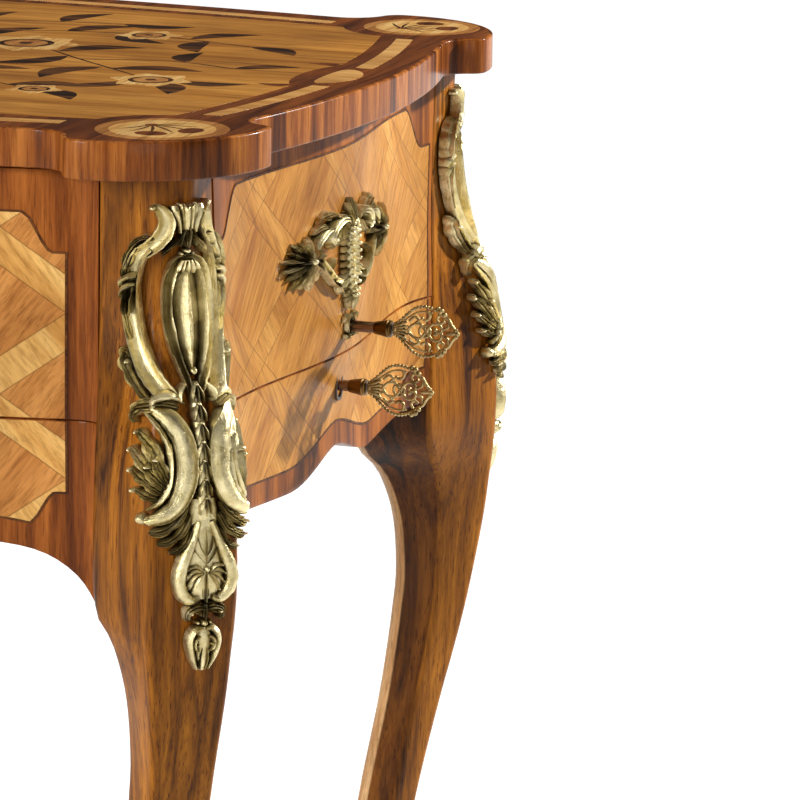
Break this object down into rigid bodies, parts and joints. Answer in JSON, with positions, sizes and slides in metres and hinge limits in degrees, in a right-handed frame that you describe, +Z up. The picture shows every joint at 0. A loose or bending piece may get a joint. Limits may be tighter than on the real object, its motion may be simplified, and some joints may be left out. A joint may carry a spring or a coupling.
{
  "type": "mechanical writing desk",
  "caption": "Inlaid writing table on cabriole legs with gilt mounts; a crank key slides the top back and the fitted drawer forward, and the right end holds a locking drawer.",
  "frame": {"origin": "on the floor, under the middle of the whole box, keys included", "axes": "+Z up, -Y towards the sitter (main drawer front), +X towards the end with the keys"},
  "size_m": [0.9208, 0.4984, 0.77],
  "materials": {
    "marquetry": "polished veneer",
    "walnut": "polished",
    "oak": "waxed",
    "gilt": "antique gilt",
    "brass": "satin",
    "steel": "browned",
    "leather": "gilt-edged leather"
  },
  "bodies": {
    "frame": {"leg_front_left": "walnut", "leg_front_right": "walnut", "leg_back_left": "walnut", "leg_back_right": "walnut", "sabot_front_left": "gilt", "sabot_front_right": "gilt", "sabot_back_left": "gilt", "sabot_back_right": "gilt", "corner_mount_front_left": "gilt", "corner_mount_front_right": "gilt", "corner_mount_back_left": "gilt", "corner_mount_back_right": "gilt", "front_apron": "marquetry", "back_panel": "marquetry", "left_side_panel": "marquetry", "right_side_panel": "marquetry", "dust_board": "oak", "side_drawer_rail_front": "oak", "side_drawer_rail_back": "oak", "drawer_runner_left": "oak", "drawer_runner_right": "oak", "top_guide_left": "walnut", "top_guide_right": "walnut", "idler_axle_left": "steel", "idler_axle_right": "steel", "shaft_bearing_left": "brass", "shaft_bearing_right": "brass", "side_escutcheon": "gilt"},
    "top": {"table_top": "marquetry", "top_rack_left": "brass", "top_rack_right": "brass"},
    "main_drawer": {"drawer_front": "marquetry", "drawer_back": "oak", "drawer_bottom": "oak", "drawer_side_left": "oak", "drawer_side_right": "oak", "drawer_partition_left": "oak", "drawer_partition_right": "oak", "drawer_rack_left": "brass", "drawer_rack_right": "brass"},
    "slope": {"writing_slope": "marquetry", "slope_leather": "leather"},
    "lid_left": {"compartment_lid_left": "marquetry"},
    "lid_right": {"compartment_lid_right": "marquetry"},
    "crank": {"drive_shaft": "steel", "crank_key_stem": "steel", "crank_key_bow": "gilt"},
    "idler_left": {"idler_gear_left": "brass"},
    "idler_right": {"idler_gear_right": "brass"},
    "side_drawer": {"side_drawer_front": "marquetry", "side_drawer_wall_front": "oak", "side_drawer_wall_back": "oak", "side_drawer_back": "oak", "side_drawer_bottom": "oak", "lock_case": "steel", "keyhole_liner": "brass"},
    "bolt": {"lock_bolt": "brass"},
    "drawer_key": {"drawer_key_stem": "steel", "drawer_key_bow": "gilt"}
  },
  "joints": [
    {"name": "top_slide", "type": "slide", "parent": "frame", "child": "top", "axis": [0, 1, 0], "range_m": [0, 0.16]},
    {"name": "drawer_slide", "type": "slide", "parent": "frame", "child": "main_drawer", "axis": [0, -1, 0], "range_m": [0, 0.16]},
    {"name": "crank_turn", "type": "hinge", "parent": "frame", "child": "crank", "pos_m": [0, 0, 0.6372], "axis": [1, 0, 0], "range_deg": [0, 764]},
    {"name": "idler_left_turn", "type": "hinge", "parent": "frame", "child": "idler_left", "pos_m": [-0.388, 0, 0.6972], "axis": [1, 0, 0], "range_deg": [-191, 0]},
    {"name": "idler_right_turn", "type": "hinge", "parent": "frame", "child": "idler_right", "pos_m": [0.349, 0, 0.6972], "axis": [1, 0, 0], "range_deg": [-191, 0]},
    {"name": "slope_tilt", "type": "hinge", "parent": "main_drawer", "child": "slope", "pos_m": [-0.0195, -0.182, 0.692], "axis": [1, 0, 0], "range_deg": [0, 14]},
    {"name": "lid_left_slide", "type": "slide", "parent": "main_drawer", "child": "lid_left", "axis": [0, 1, 0], "range_m": [0, 0.165]},
    {"name": "lid_right_slide", "type": "slide", "parent": "main_drawer", "child": "lid_right", "axis": [0, 1, 0], "range_m": [0, 0.165]},
    {"name": "side_drawer_slide", "type": "slide", "parent": "frame", "child": "side_drawer", "axis": [1, 0, 0], "range_m": [0, 0.18]},
    {"name": "drawer_key_turn", "type": "hinge", "parent": "side_drawer", "child": "drawer_key", "pos_m": [0.3705, 0, 0.6045], "axis": [1, 0, 0], "range_deg": [0, 90]},
    {"name": "bolt_slide", "type": "slide", "parent": "side_drawer", "child": "bolt", "axis": [0, 0, 1], "range_m": [0, 0.0075]}
  ],
  "couplings": [
    {"joint": "drawer_slide", "follows": "top_slide", "ratio": 1},
    {"joint": "crank_turn", "follows": "top_slide", "rad_per_m": 83.333},
    {"joint": "idler_left_turn", "follows": "top_slide", "rad_per_m": -20.833},
    {"joint": "idler_right_turn", "follows": "top_slide", "rad_per_m": -20.833},
    {"joint": "bolt_slide", "follows": "drawer_key_turn", "m_per_rad": 0.0046}
  ]
}
